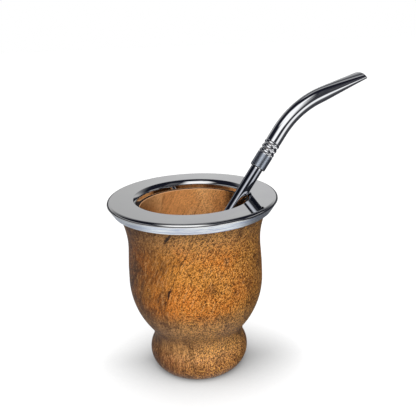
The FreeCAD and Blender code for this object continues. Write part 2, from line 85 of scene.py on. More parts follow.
# Sizes of the straw, as in the part
TUBE_WALL = 0.5
JOINT_CLEARANCE = 0.05
STEM_RADIUS = 3.2
TUBE_STEP = 0.75
TUBE_RADIUS = STEM_RADIUS + TUBE_STEP
STRAIGHT_LENGTH = 6.4
BEND_RADIUS = 45.6
BEND_ANGLE = 35.0
MOUTH_LENGTH = 28.0
MOUTH_HALF_WIDTH = 5.9
MOUTH_HALF_HEIGHT = 2.0
MOUTH_SLANT = 21.0
MOUTH_END_BULGE = 1.0
COLLAR_STEP = 0.2
COLLAR_RADIUS = TUBE_RADIUS + COLLAR_STEP
COLLAR_LENGTH = 15.5
COLLAR_LIP_ROUND = 0.6
BAND_START = 8.1
BAND_DEPTH = 0.45
RING_HALF_WIDTH = 1.1
RING_PITCH = 2.6
RINGS = 3
SPIGOT_LENGTH = 5.0
WEB_THICKNESS = 1.5
STEM_LENGTH = 62.3
BULB_LENGTH = 30.0
SOCKET_LENGTH = 6.0
LEAN = 35.9
HEADING = 17.1

# Fineness of the meshes
AROUND_CUP = 256
AROUND_STRAW = 96
ARC_STEP = 3.0        # degrees of arc between two points of an outline
GUARD = 0.12          # straight stretch kept flat beside each of its ends
SHARP_ANGLE = 35.0    # edges that turn more than this stay sharp


def arc_points(start, end, radius, side):
    """Points of an arc, its start left out. Side is +1 where the centre lies to the left."""
    a, b = np.array(start), np.array(end)
    chord = b - a
    length = np.linalg.norm(chord)
    lift = math.sqrt(max(radius ** 2 - length ** 2 / 4, 0.0))
    centre = (a + b) / 2 + side * lift * np.array([-chord[1], chord[0]]) / length
    first = math.atan2(*(a - centre)[::-1])
    turn = 2 * math.asin(min(length / (2 * radius), 1.0)) * side
    count = max(2, math.ceil(abs(math.degrees(turn)) / ARC_STEP))
    angles = first + turn * np.arange(1, count + 1) / count
    return [tuple(centre + radius * np.array([math.cos(x), math.sin(x)])) for x in angles]


def line_points(start, end):
    """Points of a straight edge, its start left out, with a guard point near each end."""
    a, b = np.array(start), np.array(end)
    length = np.linalg.norm(b - a)
    if length < 3 * GUARD:
        return [tuple(b)]
    way = (b - a) / length
    return [tuple(a + way * GUARD), tuple(b - way * GUARD), tuple(b)]


def outline(corners, edges):
    """Points of an outline, which closes where it has as many edges as corners.

    Each edge is None for a line, or (radius, side) for an arc.
    """
    points = [corners[0]]
    for i, edge in enumerate(edges):
        start = corners[i]
        end = corners[(i + 1) % len(corners)]
        points += line_points(start, end) if edge is None else arc_points(start, end, *edge)
    closed = len(edges) == len(corners)
    return points[:-1] if closed else points


def new_mesh(name, points, faces):
    """Mesh from points in millimetres."""
    mesh = bpy.data.meshes.new(name)
    mesh.from_pydata([Vector(p) * MM for p in points], [], faces)
    return mesh


def add_object(name, data):
    made = bpy.data.objects.new(name, data)
    bpy.context.scene.collection.objects.link(made)
    return made


def skin(name, loops, closed, place=None):
    """Mesh through a row of loops of equal length. A loop of one point is a pole."""
    points, starts = [], []
    for loop in loops:
        starts.append(len(points))
        points += [tuple(p) for p in loop]
    faces = []
    last = len(loops) if closed else len(loops) - 1
    for i in range(last):
        j = (i + 1) % len(loops)
        count = max(len(loops[i]), len(loops[j]))
        for k in range(count):
            m = (k + 1) % count
            corners = []
            for row, ks in ((i, (k, m)), (j, (m, k))):
                if len(loops[row]) == 1:
                    corners.append(starts[row])
                else:
                    corners += [starts[row] + n for n in ks]
            faces.append(corners)
    mesh = new_mesh(name, points, faces)
    if place is not None:
        mesh.transform(place)
    work = bmesh.new()
    work.from_mesh(mesh)
    bmesh.ops.recalc_face_normals(work, faces=work.faces)
    work.to_mesh(mesh)
    work.free()
    mesh.shade_smooth()
    mesh.set_sharp_from_angle(angle=math.radians(SHARP_ANGLE))
    return add_object(name, mesh)


def ring_loop(radius, height, around):
    """One circle of a turned piece, or a single point on the axis."""
    if radius == 0:
        return [(0.0, 0.0, height)]
    turn = np.arange(around) * 2 * math.pi / around
    return list(zip(radius * np.cos(turn), radius * np.sin(turn), np.full(around, height)))


def lathe(name, points, around, closed=True, place=None):
    return skin(name, [ring_loop(r, z, around) for r, z in points], closed, place)


def dress(piece, material, node):
    """Give a piece its material, let it ride on the part's body and stand for a CAD node."""
    piece.data.materials.append(material)
    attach(piece, "root")
    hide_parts(node)


# Sizes of the cup worked out from the ones above, as in the part
seat_height = CUP_HEIGHT - PLATE_THICKNESS
skirt_bottom = CUP_HEIGHT - SKIRT_HEIGHT
skirt_outer = RIM_RADIUS - SKIRT_TAPER
skirt_inner = skirt_outer - SKIRT_WALL
skirt_slope = SKIRT_TAPER / (SKIRT_HEIGHT - RIM_EDGE_ROUND)
skirt_root = RIM_RADIUS - SKIRT_WALL - skirt_slope * (PLATE_THICKNESS - RIM_EDGE_ROUND)
neck_height = CUP_HEIGHT - NECK_DROP
belly_height = neck_height - NECK_RISE
neck_radius = skirt_inner - SKIRT_GAP - FLARE_REACH
flare_rise = skirt_bottom - neck_height
flare_round = (flare_rise ** 2 + FLARE_REACH ** 2) / (2 * FLARE_REACH)
flare_centre = neck_radius + flare_round
seat_radius = flare_centre - math.sqrt(flare_round ** 2 - (seat_height - neck_height) ** 2)
belly_radius = neck_radius + BELLY_SWELL
foot_centre = FOOT_RADIUS - FOOT_ROUND
cavity_radius = neck_radius - WALL
mouth_radius = cavity_radius - HOLLOW
lip_throat = mouth_radius + LEDGE
lip_outer = lip_throat + LIP_WALL
lip_depth = math.sqrt(LIP_ROUND ** 2 - (LIP_ROUND - LIP_RUN) ** 2)
lip_bottom = CUP_HEIGHT - lip_depth
ledge_height = lip_bottom - LIP_CLEARANCE
lip_centre = lip_throat + LIP_ROUND
rim_flat_inner = lip_throat + LIP_RUN
lip_under = LIP_ROUND - LIP_WALL
plate_depth = lip_depth - PLATE_THICKNESS
lip_root = lip_centre - math.sqrt(lip_under ** 2 - plate_depth ** 2)
seat_round = lip_under - LIP_CLEARANCE
seat_edge = lip_centre - math.sqrt(seat_round ** 2 - plate_depth ** 2)
rebate_radius = lip_outer + LIP_CLEARANCE
foot_reach = FOOT_ROUND + WAIST_ROUND
waist_centre_r = WAIST_RADIUS + WAIST_ROUND
waist_centre_z = FOOT_BULGE_HEIGHT + math.sqrt(foot_reach ** 2 - (waist_centre_r - foot_centre) ** 2)
belly_rise = belly_height - waist_centre_z
belly_offset = waist_centre_r - belly_radius
belly_round = (belly_rise ** 2 + belly_offset ** 2 - WAIST_ROUND ** 2) / (2 * (WAIST_ROUND - belly_offset))
belly_centre = belly_radius - belly_round
shoulder_offset = flare_centre - belly_radius
shoulder_round = ((NECK_RISE ** 2 + shoulder_offset ** 2 - flare_round ** 2)
                  / (2 * (flare_round - shoulder_offset)))

# Heights along the straw from the filter's lowest point, as in the part
stem_base = BULB_LENGTH - SOCKET_LENGTH
stem_total = SOCKET_LENGTH + STEM_LENGTH + COLLAR_LENGTH - WEB_THICKNESS
stem_bore = STEM_RADIUS - TUBE_WALL
collar_base = BULB_LENGTH + STEM_LENGTH
tube_base = collar_base + COLLAR_LENGTH


def between(a, b, share):
    """The point a share of the way from a to b."""
    return tuple(p + (q - p) * share for p, q in zip(a, b))


def cup_outline():
    """Section of the wood from the middle of the foot, up the outside and down the inside."""
    waist_centre = (waist_centre_r, waist_centre_z)
    foot_touch = between((foot_centre, FOOT_BULGE_HEIGHT), waist_centre, FOOT_ROUND / foot_reach)
    belly_touch = between((belly_centre, belly_height), waist_centre,
                          belly_round / (belly_round + WAIST_ROUND))
    shoulder_touch = between((flare_centre, neck_height), (belly_radius - shoulder_round, belly_height),
                             flare_round / (flare_round + shoulder_round))
    foot_edge = foot_centre + math.sqrt(FOOT_ROUND ** 2 - (FOOT_BULGE_HEIGHT - FOOT_CHAMFER) ** 2)
    foot_face = foot_centre + math.sqrt(FOOT_ROUND ** 2 - FOOT_BULGE_HEIGHT ** 2) - FOOT_CHAMFER
    mouth_rise = ledge_height - HOLLOW_HEIGHT
    hollow_round = (mouth_rise ** 2 + HOLLOW ** 2) / (2 * HOLLOW)
    corners = [
        (0.0, 0.0),
        (foot_face, 0.0),
        (foot_edge, FOOT_CHAMFER),
        foot_touch,
        belly_touch,
        (belly_radius, belly_height),
        shoulder_touch,
        (seat_radius, seat_height),
        (seat_edge, seat_height),
        (rebate_radius, lip_bottom),
        (rebate_radius, ledge_height),
        (mouth_radius, ledge_height),
        (cavity_radius, HOLLOW_HEIGHT),
        (cavity_radius, FLOOR_HEIGHT + FLOOR_ROUND),
        (cavity_radius - FLOOR_ROUND, FLOOR_HEIGHT),
        (0.0, FLOOR_HEIGHT),
    ]
    edges = [
        None,
        None,
        (FOOT_ROUND, 1),
        (WAIST_ROUND, -1),
        (belly_round, 1),
        (shoulder_round, 1),
        (flare_round, -1),
        None,
        (seat_round, 1),
        None,
        None,
        (hollow_round, -1),
        None,
        (FLOOR_ROUND, -1),
        None,
    ]
    return outline(corners, edges)


def rim_outline():
    """Section of the metal rim: lip, hidden underside, skirt, rounded edge and flat top.

    The lip keeps the part's arc down to where the stem rests on it, then turns straight down.
    """
    rest = math.radians(90 - LEAN)
    rest_point = (lip_centre - LIP_ROUND * math.sin(rest), lip_bottom + LIP_ROUND * math.cos(rest))
    straight = rest_point[0] - LIP_TURN * (1 - math.sin(rest))
    straight_top = rest_point[1] - LIP_TURN * math.cos(rest)
    corners = [
        (straight, lip_bottom),
        (lip_outer, lip_bottom),
        (lip_root, seat_height),
        (skirt_root, seat_height),
        (skirt_inner, skirt_bottom),
        (skirt_outer, skirt_bottom),
        (RIM_RADIUS, CUP_HEIGHT - RIM_EDGE_ROUND),
        (RIM_RADIUS - RIM_EDGE_ROUND, CUP_HEIGHT),
        (rim_flat_inner, CUP_HEIGHT),
        rest_point,
        (straight, straight_top),
    ]
    edges = [None, (lip_under, -1), None, None, None, None, (RIM_EDGE_ROUND, 1), None, (LIP_ROUND, 1),
             (LIP_TURN, 1), None]
    return outline(corners, edges)


def straw_place():
    """Placement of the straw's own frame: origin at the filter's lowest point, Z up the stem.

    The stem's middle is the middle of its packed box, and the bend turns towards the frame's X.
    """
    low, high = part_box("lower_tube")
    lean, heading = math.radians(LEAN), math.radians(HEADING)
    out = Vector((math.cos(heading), math.sin(heading), 0))
    beside = Vector((-math.sin(heading), math.cos(heading), 0))
    up = out * math.sin(lean) + Vector((0, 0, math.cos(lean)))
    ahead = out * math.cos(lean) - Vector((0, 0, math.sin(lean)))
    foot = (low + high) / 2 - up * (stem_base + stem_total / 2) * MM
    place = Matrix((ahead, beside, up)).transposed().to_4x4()
    place.translation = foot
    return place


def raised(points, height):
    return [(r, z + height) for r, z in points]


def stem_outline():
    corners = [(stem_bore, 0.0), (STEM_RADIUS, 0.0), (STEM_RADIUS, stem_total), (stem_bore, stem_total)]
    return raised(outline(corners, [None] * 4), stem_base)


def collar_outline():
    """Section of the collar, with its rounded lower lip, plain sleeve and raised rings."""
    bore = STEM_RADIUS + JOINT_CLEARANCE
    band = COLLAR_RADIUS - BAND_DEPTH
    spigot = TUBE_RADIUS - TUBE_WALL - JOINT_CLEARANCE
    web = COLLAR_LENGTH - WEB_THICKNESS
    ring_round = (RING_HALF_WIDTH ** 2 + BAND_DEPTH ** 2) / (2 * BAND_DEPTH)
    corners = [
        (bore, 0.0),
        (COLLAR_RADIUS - COLLAR_LIP_ROUND, 0.0),
        (COLLAR_RADIUS, COLLAR_LIP_ROUND),
        (COLLAR_RADIUS, BAND_START),
    ]
    edges = [None, (COLLAR_LIP_ROUND, 1), None, None]
    for ring in range(RINGS):
        low = BAND_START + ring * RING_PITCH
        corners += [(band, low), (band, low + 2 * RING_HALF_WIDTH)]
        edges += [(ring_round, 1), None]
    corners += [
        (band, COLLAR_LENGTH),
        (spigot, COLLAR_LENGTH),
        (spigot, COLLAR_LENGTH + SPIGOT_LENGTH),
        (stem_bore, COLLAR_LENGTH + SPIGOT_LENGTH),
        (stem_bore, web),
        (bore, web),
    ]
    edges += [None] * 6
    return raised(outline(corners, edges), collar_base)


# The mouthpiece's flattening along its straight end, and the rows of its mesh
SQUEEZE_STATIONS = [0.0, 0.12, 0.4, 0.7, 1.0]
SQUEEZE_SHARES = [0.0, 0.04, 0.33, 0.68, 1.0]
SQUEEZE_SMOOTHING = np.linspace(-0.08, 0.08, 9)
SLANT_START = 0.5     # station from which the rows lean towards the slanted mouth
STRAIGHT_ROWS = 8
BEND_ROWS = 40
MOUTH_ROWS = 48
END_ROUND_STEPS = 6


def squeeze_share(station):
    """Share of the flattening at a station from 0, the bend's end, to 1, the mouth."""
    return float(np.interp(station + SQUEEZE_SMOOTHING, SQUEEZE_STATIONS, SQUEEZE_SHARES).mean())


def oval(radius, half_width, half_height, share):
    """Loop of a section as (across, up) pairs, from round at share 0 to squeezed at 1."""
    turn = np.arange(AROUND_STRAW) * 2 * math.pi / AROUND_STRAW
    wide = radius + share * (half_width - radius)
    high = radius + share * (half_height - radius)
    return wide * np.cos(turn), high * np.sin(turn)


def tube_loops(inset, mouth_gap):
    """Loops along the upper tube's surface, set in from the outside by inset."""
    loops = []
    radius = TUBE_RADIUS - inset
    bend = math.radians(BEND_ANGLE)
    ring, rise = oval(radius, radius, radius, 0.0)
    for z in np.linspace(0, STRAIGHT_LENGTH, STRAIGHT_ROWS):
        loops.append(np.stack([-rise, ring, np.full(AROUND_STRAW, z + tube_base)], 1))
    for angle in np.linspace(0, bend, BEND_ROWS)[1:]:
        centre = BEND_RADIUS - (BEND_RADIUS + rise) * math.cos(angle)
        height = STRAIGHT_LENGTH + (BEND_RADIUS + rise) * math.sin(angle)
        loops.append(np.stack([centre, ring, height + tube_base], 1))
    way = np.array([math.sin(bend), 0, math.cos(bend)])
    over = np.array([-math.cos(bend), 0, math.sin(bend)])
    side = np.array([0, 1.0, 0])
    end = np.array([BEND_RADIUS * (1 - math.cos(bend)), 0,
                    tube_base + STRAIGHT_LENGTH + BEND_RADIUS * math.sin(bend)])
    end_round = (MOUTH_HALF_WIDTH ** 2 + MOUTH_END_BULGE ** 2) / (2 * MOUTH_END_BULGE)
    for station in np.linspace(0, 1, MOUTH_ROWS)[1:]:
        share = squeeze_share(station) if station < 1 else 1.0
        across, upward = oval(radius, MOUTH_HALF_WIDTH - inset, MOUTH_HALF_HEIGHT - inset, share)
        drop = end_round - np.sqrt(end_round ** 2 - across ** 2)
        limit = (MOUTH_LENGTH - mouth_gap - drop
                 - math.tan(math.radians(MOUTH_SLANT)) * (upward + MOUTH_HALF_HEIGHT))
        blend = max(0.0, (station - SLANT_START) / (1 - SLANT_START)) ** 2
        along = station * (MOUTH_LENGTH * (1 - blend) + limit * blend)
        loops.append(end + along[:, None] * way + across[:, None] * side + upward[:, None] * over)
    return loops


def make_tube(place):
    """The upper tube with its bore, and a rounded edge round the slanted mouth."""
    half = TUBE_WALL / 2
    outside = tube_loops(0.0, half)
    edge = []
    for step in range(1, END_ROUND_STEPS):
        angle = math.pi * step / END_ROUND_STEPS
        edge.append(tube_loops(half - half * math.cos(angle), half - half * math.sin(angle))[-1])
    inside = tube_loops(TUBE_WALL, half)[::-1]
    return skin("mouthpiece", outside + edge + inside, True, place)


class Graph:
    """Nodes of a material or a world, with short calls to add and link them."""

    def __init__(self, owner):
        owner.use_nodes = True
        self.tree = owner.node_tree

    def node(self, kind, inputs=None, **settings):
        made = self.tree.nodes.new("ShaderNode" + kind)
        for name, value in settings.items():
            setattr(made, name, value)
        for socket, value in (inputs or {}).items():
            self.feed(made.inputs[socket], value)
        return made

    def feed(self, socket, value):
        if isinstance(value, bpy.types.NodeSocket):
            self.tree.links.new(value, socket)
        else:
            socket.default_value = value

    def math(self, operation, *values):
        return self.node("Math", dict(enumerate(values)), operation=operation).outputs[0]

    def chain(self, operation, first, *others):
        for value in others:
            first = self.math(operation, first, value)
        return first

    def times(self, *values):
        return self.chain("MULTIPLY", *values)

    def plus(self, *values):
        return self.chain("ADD", *values)

    def minus(self, *values):
        return self.chain("SUBTRACT", *values)

    def most(self, *values):
        return self.chain("MAXIMUM", *values)


class Paint(Graph):
    """A material on the Principled shader. Its places are millimetres in the part's frame."""

    def __init__(self, name, **settings):
        self.material = bpy.data.materials.new(name)
        super().__init__(self.material)
        self.shader = self.tree.nodes["Principled BSDF"]
        for socket, value in settings.items():
            self.shader.inputs[socket.replace("_", " ")].default_value = value
        self.object_point = self.node("TexCoord").outputs["Object"]
        self.point = self.vector("SCALE", self.object_point, Scale=1 / MM)
        self.x, self.y, self.z = self.parted(self.point)

    def vector(self, operation, *values, **named):
        made = self.node("VectorMath", dict(enumerate(values)), operation=operation)
        for socket, value in named.items():
            self.feed(made.inputs[socket], value)
        return made.outputs["Vector"]

    def joined(self, x, y, z):
        return self.node("CombineXYZ", {0: x, 1: y, 2: z}).outputs[0]

    def parted(self, point):
        return list(self.node("SeparateXYZ", {"Vector": point}).outputs)

    def axis_distance(self):
        """Distance from the cup's axis."""
        return self.math("SQRT", self.plus(self.times(self.x, self.x), self.times(self.y, self.y)))

    def ease(self, value, low, high, start=0.0, end=1.0):
        """Smooth change from start, where value is low, to end, where it is high."""
        return self.node("MapRange", {0: value, 1: low, 2: high, 3: start, 4: end},
                         interpolation_type="SMOOTHSTEP").outputs[0]

    def span(self, value, low, high, soft):
        """1 between low and high, and 0 a soft distance outside them."""
        return self.times(self.ease(value, low - soft, low), self.ease(value, high, high + soft, 1.0, 0.0))

    def noise(self, point, scale, detail=3.0, roughness=0.55, distortion=0.0):
        inputs = {"Vector": point, "Scale": scale, "Detail": detail, "Roughness": roughness,
                  "Distortion": distortion}
        return self.node("TexNoise", inputs).outputs[0]

    def mix(self, share, first, second):
        """Blend of two colours."""
        return self.node("Mix", {0: share, 6: first, 7: second}, data_type="RGBA").outputs[2]

    def blend(self, share, first, second):
        """Blend of two plain values."""
        return self.node("Mix", {0: share, 2: first, 3: second}, data_type="FLOAT").outputs[0]

    def bump(self, height, strength, distance):
        inputs = {"Height": height, "Strength": strength, "Distance": distance * MM}
        self.feed(self.shader.inputs["Normal"], self.node("Bump", inputs).outputs[0])

    def finish(self, colour, roughness):
        self.feed(self.shader.inputs["Base Color"], colour)
        self.feed(self.shader.inputs["Roughness"], roughness)
        return self.material


# Colours of the wood
AMBER = (0.88, 0.255, 0.028, 1)
GOLD = (0.78, 0.285, 0.040, 1)
TAN = (0.70, 0.365, 0.142, 1)
PINK = (0.52, 0.19, 0.085, 1)
CREAM = (0.95, 0.46, 0.11, 1)
PALE = (0.80, 0.42, 0.17, 1)
BISCUIT = (0.62, 0.27, 0.09, 1)
# Painted highlight on the lit edge of the ledge under the lip
LEDGE_HIGHLIGHT = (0.85, 0.48, 0.24, 1)
BROWN = (0.120, 0.044, 0.014, 1)
# Colour of the painted shade inside, beside the straw
INSIDE_SHADE = (0.045, 0.018, 0.010, 1)
DARK = (0.022, 0.010, 0.007, 1)

# Noises of the wood: bumps per millimetre, detail, roughness and distortion
BROAD = (0.04, 2.0)
CLOUD = (0.10, 4.0, 0.65)
STREAKS = (0.30, 4.0, 0.6, 0.3)
FINE = (1.1, 4.0, 0.65)
MOTTLE = (1.45, 2.0, 0.7)
SAND = (2.1, 1.0, 0.6)
WANDER = (0.16, 3.0)
RAGGED = (0.9, 3.0)

# Grain's lean over the height, and its stretch along it
LEAN_START = 25.0
LEAN_STRAIGHT = 0.1
LEAN_CURVED = 0.0042
STREAK_STRETCH = 0.07
MOTTLE_STRETCH = 0.6

# Middle of the wood's wall, which parts the inside from the outside: its radius at the floor,
# its growth with the height, and how far out it ends from the hollow
WALL_START = 17.0
WALL_GROWTH = 1.3
WALL_OUT = 0.5
INSIDE_CALM = 0.6     # share of the grain and pores that the inside lacks

# The rest of the wood is eased in. Each ease has the map's value at its start and at its end, then
# the share of the colour at both. Side is -1 at the cup's left and 1 at its right.
AMBER_BY_BROAD = (0.40, 0.60)
TAN_LOW = (16.0, 36.0, 12.0)
TAN_HIGH = (72.0, 88.0)
TAN_SHARE = 0.9
PINK_BY_HEIGHT = (19.0, 10.0, 0.0, 0.8)
PINK_BY_CLOUD = (0.38, 0.60, 0.3, 1.0)
# Painted shade: the cup's left and right sides are darkened at the front, where the light falls off
SIDE_SHADE_LEFT = (-0.15, -0.88, 0.0, 0.84)
SIDE_SHADE_RIGHT = (0.35, 0.97, 0.0, 0.66)
SIDE_SHADE_BY_CLOUD = (0.35, 0.60, 1.2, 0.75)
SIDE_SHADE_BY_DEPTH = (5.0, 25.0, 1.0, 0.2)
FOOT_BY_HEIGHT = (16.0, 6.0)
FOOT_BY_CLOUD = (0.62, 0.40, 0.25, 0.6)
BROWN_BY_CLOUD = (0.48, 0.33, 0.0, 0.6)
STREAKS_BY_SIDE = (0.15, -0.35, 0.4, 1.0)
BROWN_STREAKS = (0.48, 0.34, 0.0, 0.75)
BROWN_FINE = (0.49, 0.38, 0.0, 0.75)
PALE_FINE = (0.53, 0.62, 0.0, 0.45)
INNER_FINE = (0.48, 0.34, 0.0, 0.55)
INNER_STREAKS = (0.44, 0.32, 0.0, 0.45)
INNER_LEFT = (-12.0, -27.0, 0.0, 0.6)
# Painted shade: the inside at its right, beside the straw, goes near black
INSIDE_SHADE_RIGHT = (16.5, 21.5)
GRAIN_BY_SIDE = (-0.6, 0.2, 0.45, 1.0)
CREAM_MOTTLE = (0.50, 0.60, 0.0, 0.60)
CREAM_SAND = (0.50, 0.60, 0.0, 0.45)
CREAM_BY_CLOUD = (0.38, 0.58, 0.35, 1.0)
CREAM_BY_SIDE = (-0.9, -0.1, 0.2, 1.0)
DARK_MOTTLE = (0.50, 0.40, 0.0, -0.68)
DARK_SAND = (0.50, 0.39, 0.0, -0.62)
DARK_MOST = 0.12
WOOD_ROUGHNESS = (0.3, 0.7, 0.60, 0.45)

# Pores, as small cells of which a part is left out
PORE_SCALE = 1.4
PORES_BY_SIDE = (-0.6, 0.4, 0.30, 0.62)
PORES_BY_CLOUD = (0.4, 0.6, -0.2, 0.2)
PORE_CHANCE = (0.0, 0.15)
PORE_ROUND = (0.12, 0.42, 1.0, 0.0)
PORE_SHARE = 0.85
PORE_DEPTH = 0.8

# The crack and the knot on the front: how far left they start, their heights and their edges
FRONT = (-20.0, -10.0, 1.0, 0.0)
CRACK_LEFT = 20.9
CRACK_WANDER = 3.5
CRACK_RAGGED = 0.8
CRACK_OPEN = (54.8, 58.5, 2.0)
CRACK_WIDTH = (0.0, 1.0, 0.22, 0.60)
CRACK_EDGE = (-0.1, 0.15, 1.0, 0.0)
CRACK_FAINT = (46.0, 84.0, 8.0)
CRACK_FAINT_SHARE = 0.65
KNOT_LEFT = 34.6
KNOT_HEIGHT = 86.3
KNOT_STRETCH = 2.6
KNOT_RAGGED = 2.5
KNOT_EDGE = (0.2, 1.5, 1.0, 0.0)
MARK_SHARE = 0.95

# Worn foot, painted highlight on the ledge, painted shadow in the gap under the lip and painted shadow line
# under the skirt
FOOT_WORN = (0.6, 1.3, 0.4, 0.0)
LEDGE_LIT_HEIGHTS = (ledge_height - 0.5, ledge_height - 0.3, 0.0, 0.8)
LEDGE_HIGHLIGHT_BY_SIDE = (13.0, 20.0, 1.0, 0.0)
# Painted shadow in the gap between the metal lip and the wood
LIP_GAP_SHADOW = (mouth_radius + 0.26, mouth_radius + 0.30)
LIP_GAP_SHADOW_DROP = 0.05
SKIRT_SHADOW = (skirt_bottom - 0.9, skirt_bottom - 0.1, 0.0, 0.8)


class Wood(Paint):
    """Turned hardwood, with the maps of place and noise that its colours are mixed by."""

    def __init__(self):
        super().__init__("turned_wood", IOR=1.5, Specular_IOR_Level=0.3)
        rise = self.most(self.minus(self.z, LEAN_START), 0.0)
        lean = self.plus(self.times(rise, LEAN_STRAIGHT), self.times(rise, rise, LEAN_CURVED))
        self.across = self.minus(self.x, lean)
        along = self.joined(self.across, self.y, self.times(self.z, STREAK_STRETCH))
        self.short = self.joined(self.across, self.y, self.times(self.z, MOTTLE_STRETCH))
        self.radius = self.axis_distance()
        self.side = self.math("DIVIDE", self.x, self.radius)
        growth = self.math("MULTIPLY_ADD", self.z, WALL_GROWTH, WALL_START - WALL_GROWTH * FLOOR_HEIGHT)
        wall_middle = self.math("MINIMUM", growth, cavity_radius + WALL_OUT)
        above_floor = self.math("GREATER_THAN", self.z, FLOOR_HEIGHT - 0.1)
        self.inside = self.times(above_floor, self.math("LESS_THAN", self.radius, wall_middle))
        self.liveliness = self.minus(1.0, self.times(self.inside, INSIDE_CALM))
        self.broad = self.noise(self.point, *BROAD)
        self.cloud = self.noise(self.point, *CLOUD)
        self.streaks = self.noise(along, *STREAKS)
        self.fine = self.noise(along, *FINE)
        self.mottle = self.noise(self.short, *MOTTLE)
        self.sand = self.noise(self.point, *SAND)

    def outer_colour(self):
        """Amber belly, tan neck and waist, pink foot, and painted shade darkening the left and right sides
        at the front.
        """
        colour = self.mix(self.ease(self.broad, *AMBER_BY_BROAD), GOLD, AMBER)
        ends = self.most(self.span(self.z, *TAN_LOW), self.ease(self.z, *TAN_HIGH))
        colour = self.mix(self.times(ends, TAN_SHARE), colour, TAN)
        pink = self.times(self.ease(self.z, *PINK_BY_HEIGHT), self.ease(self.cloud, *PINK_BY_CLOUD))
        colour = self.mix(pink, colour, PINK)
        # Painted shade where the light falls off at the sides, mostly on the front
        side_shade = self.most(self.ease(self.side, *SIDE_SHADE_LEFT), self.ease(self.side, *SIDE_SHADE_RIGHT))
        side_shade = self.times(side_shade, self.ease(self.cloud, *SIDE_SHADE_BY_CLOUD),
                           self.ease(self.y, *SIDE_SHADE_BY_DEPTH))
        foot = self.times(self.ease(self.z, *FOOT_BY_HEIGHT), self.ease(self.cloud, *FOOT_BY_CLOUD))
        left = self.ease(self.side, *STREAKS_BY_SIDE)
        browns = [
            side_shade,
            foot,
            self.ease(self.cloud, *BROWN_BY_CLOUD),
            self.times(self.ease(self.streaks, *BROWN_STREAKS), left),
            self.times(self.ease(self.fine, *BROWN_FINE), left),
        ]
        for brown in browns:
            colour = self.mix(brown, colour, BROWN)
        return self.mix(self.ease(self.fine, *PALE_FINE), colour, PALE)

    def inner_colour(self):
        """Paler inside, dark at its left, and painted shade, near black, where the straw lies."""
        colour = self.mix(self.ease(self.broad, *AMBER_BY_BROAD), PALE, BISCUIT)
        colour = self.mix(self.ease(self.fine, *INNER_FINE), colour, BROWN)
        colour = self.mix(self.ease(self.streaks, *INNER_STREAKS), colour, BROWN)
        colour = self.mix(self.ease(self.x, *INNER_LEFT), colour, BROWN)
        # Painted shade, near black, at the inside's right beside the straw
        return self.mix(self.ease(self.x, *INSIDE_SHADE_RIGHT), colour, INSIDE_SHADE)

    def grained(self, colour):
        """Cream and dark speckles over a colour, strongest at the cup's right."""
        rough = self.times(self.ease(self.side, *GRAIN_BY_SIDE), self.liveliness)
        cream = self.plus(self.ease(self.mottle, *CREAM_MOTTLE), self.ease(self.sand, *CREAM_SAND))
        cream = self.times(cream, rough, self.ease(self.cloud, *CREAM_BY_CLOUD))
        colour = self.mix(self.times(cream, self.ease(self.side, *CREAM_BY_SIDE)), colour, CREAM)
        dark = self.plus(self.ease(self.mottle, *DARK_MOTTLE), self.ease(self.sand, *DARK_SAND))
        gain = self.most(self.plus(self.times(dark, rough), 1.0), DARK_MOST)
        return self.vector("SCALE", colour, Scale=gain)

    def pores(self):
        cells = self.node("TexVoronoi", {"Vector": self.short, "Scale": PORE_SCALE, "Randomness": 1.0})
        chance = self.node("SeparateColor", {0: cells.outputs["Color"]}).outputs[0]
        crowd = self.plus(self.ease(self.side, *PORES_BY_SIDE), self.ease(self.cloud, *PORES_BY_CLOUD))
        chosen = self.ease(self.minus(crowd, chance), *PORE_CHANCE)
        return self.times(self.ease(cells.outputs["Distance"], *PORE_ROUND), chosen, self.liveliness)

    def marks(self):
        """The open crack with its faint ends, and the knot beside it."""
        front = self.ease(self.y, *FRONT)
        wander = self.minus(self.noise(self.point, *WANDER), 0.5)
        ragged = self.minus(self.noise(self.point, *RAGGED), 0.5)
        away = self.plus(self.across, CRACK_LEFT, self.times(wander, CRACK_WANDER),
                         self.times(ragged, CRACK_RAGGED))
        opened = self.span(self.z, *CRACK_OPEN)
        width = self.ease(opened, *CRACK_WIDTH)
        crack = self.ease(self.minus(self.math("ABSOLUTE", away), width), *CRACK_EDGE)
        faint = self.times(self.span(self.z, *CRACK_FAINT), CRACK_FAINT_SHARE)
        crack = self.times(crack, front, self.most(opened, faint))
        knot_x = self.plus(self.across, KNOT_LEFT)
        knot_z = self.math("DIVIDE", self.minus(self.z, KNOT_HEIGHT), KNOT_STRETCH)
        spread = self.plus(self.times(knot_x, knot_x), self.times(knot_z, knot_z),
                           self.times(ragged, KNOT_RAGGED))
        knot = self.times(self.ease(spread, *KNOT_EDGE), front)
        return self.most(crack, knot)

    def edged(self, colour):
        """Worn edge of the foot, a painted highlight on the ledge under the lip, and painted shadow lines
        beside the rim.
        """
        colour = self.mix(self.ease(self.z, *FOOT_WORN), colour, PALE)
        # Painted highlight: the ledge's lit top edge, fading out at the right
        ledge = self.times(self.inside, self.ease(self.z, *LEDGE_LIT_HEIGHTS), self.ease(self.x, *LEDGE_HIGHLIGHT_BY_SIDE))
        colour = self.mix(ledge, colour, LEDGE_HIGHLIGHT)
        # Painted shadow in the gap under the lip, and under the skirt
        gap_shadow = self.times(self.inside, self.ease(self.radius, *LIP_GAP_SHADOW),
                          self.math("GREATER_THAN", self.z, ledge_height - LIP_GAP_SHADOW_DROP))
        shadow = self.times(self.ease(self.z, *SKIRT_SHADOW), self.minus(1.0, self.inside))
        return self.mix(self.most(gap_shadow, shadow), colour, DARK)


